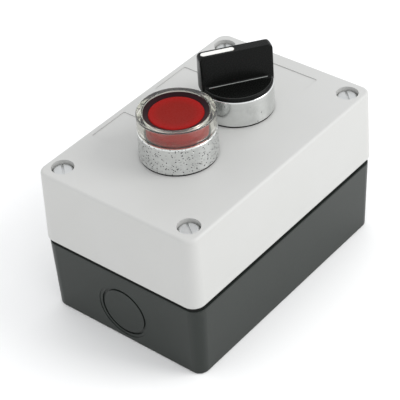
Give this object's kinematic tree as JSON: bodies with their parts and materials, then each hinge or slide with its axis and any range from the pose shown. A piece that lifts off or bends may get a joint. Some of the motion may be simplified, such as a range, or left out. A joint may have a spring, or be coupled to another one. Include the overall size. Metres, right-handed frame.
{
  "type": "push-button control station",
  "caption": "Surface-mounted control box with a light cover on a dark base, a red illuminated push-button in a clear guard and a black rotary selector, both in bright metal bezels.",
  "frame": {"origin": "middle of the base's back face, where the box lies against a wall or a table", "axes": "+X along the long side from the button to the selector, +Y across the box towards the label pockets above the operators, +Z out of the cover"},
  "size_m": [0.1106, 0.0726, 0.089],
  "materials": {
    "dark_abs": "moulded, satin",
    "light_abs": "moulded, satin",
    "rubber": "matt",
    "zinc_steel": "zinc plated",
    "brass": "turned",
    "chrome": "plated, bright",
    "black_nylon": "moulded, matt",
    "black_gloss": "moulded, satin gloss",
    "white_plastic": "moulded",
    "red_nylon": "moulded, matt",
    "green_nylon": "moulded, matt",
    "clear_polycarbonate": "clear",
    "red_lens": "translucent, gloss",
    "lamp_glass": "clear",
    "spring_steel": "drawn wire"
  },
  "bodies": {
    "enclosure": {"base_housing": "dark_abs", "button_bezel": "chrome", "button_body": "black_nylon", "button_clamp_screws": "zinc_steel", "button_collar": "black_nylon", "button_gasket": "rubber", "button_return_spring": "spring_steel", "button_wiper_seal": "rubber", "cover_gasket": "rubber", "cover_housing": "light_abs", "cover_screws": "zinc_steel", "guard_ring": "clear_polycarbonate", "lamp": "lamp_glass", "lamp_block": "black_nylon", "lamp_terminal_screws": "zinc_steel", "lamp_terminals": "brass", "lamp_wire_clamps": "zinc_steel", "run_contact_housing": "green_nylon", "run_contact_spring": "spring_steel", "run_fixed_contacts": "brass", "run_terminal_screws": "zinc_steel", "run_wire_clamps": "zinc_steel", "screw_inserts": "brass", "selector_bezel": "chrome", "selector_body": "black_nylon", "selector_clamp_screws": "zinc_steel", "selector_collar": "black_nylon", "selector_gasket": "rubber", "selector_washer": "spring_steel", "stop_contact_housing": "red_nylon", "stop_contact_spring": "spring_steel", "stop_fixed_contacts": "brass", "stop_terminal_screws": "zinc_steel", "stop_wire_clamps": "zinc_steel"},
    "button": {"button_lens": "red_lens", "lens_ring": "black_nylon", "diffuser": "white_plastic", "button_plunger": "black_nylon"},
    "stop_contact": {"stop_contact_pusher": "white_plastic", "stop_contact_bridge": "brass", "stop_bridge_spring": "spring_steel"},
    "selector": {"selector_knob": "black_gloss", "selector_pointer": "white_plastic", "selector_shaft": "black_nylon", "selector_cam": "white_plastic", "selector_cam_screw": "zinc_steel"},
    "run_contact": {"run_contact_pusher": "white_plastic", "run_contact_bridge": "brass", "run_bridge_spring": "spring_steel"}
  },
  "joints": [
    {"name": "button_press", "type": "slide", "parent": "enclosure", "child": "button", "axis": [0, 0, -1], "range_m": [0, 0.004], "stiffness_N_per_m": 1200, "springref_m": -0.002, "deforming": ["button_return_spring"]},
    {"name": "stop_contact_travel", "type": "slide", "parent": "enclosure", "child": "stop_contact", "axis": [0, 0, -1], "range_m": [0, 0.004], "stiffness_N_per_m": 250, "deforming": ["stop_contact_spring"]},
    {"name": "selector_turn", "type": "hinge", "parent": "enclosure", "child": "selector", "pos_m": [0.0175, 0, 0.0633], "axis": [0, 0, -1], "range_deg": [0, 90]},
    {"name": "run_contact_travel", "type": "slide", "parent": "enclosure", "child": "run_contact", "axis": [0, 0, -1], "range_m": [0, 0.0025], "stiffness_N_per_m": 4, "springref_m": -0.003, "deforming": ["run_contact_spring"]}
  ],
  "couplings": [
    {"joint": "stop_contact_travel", "follows": "button_press", "ratio": 1},
    {"joint": "run_contact_travel", "follows": "selector_turn", "m_per_rad": 0.0015915}
  ]
}
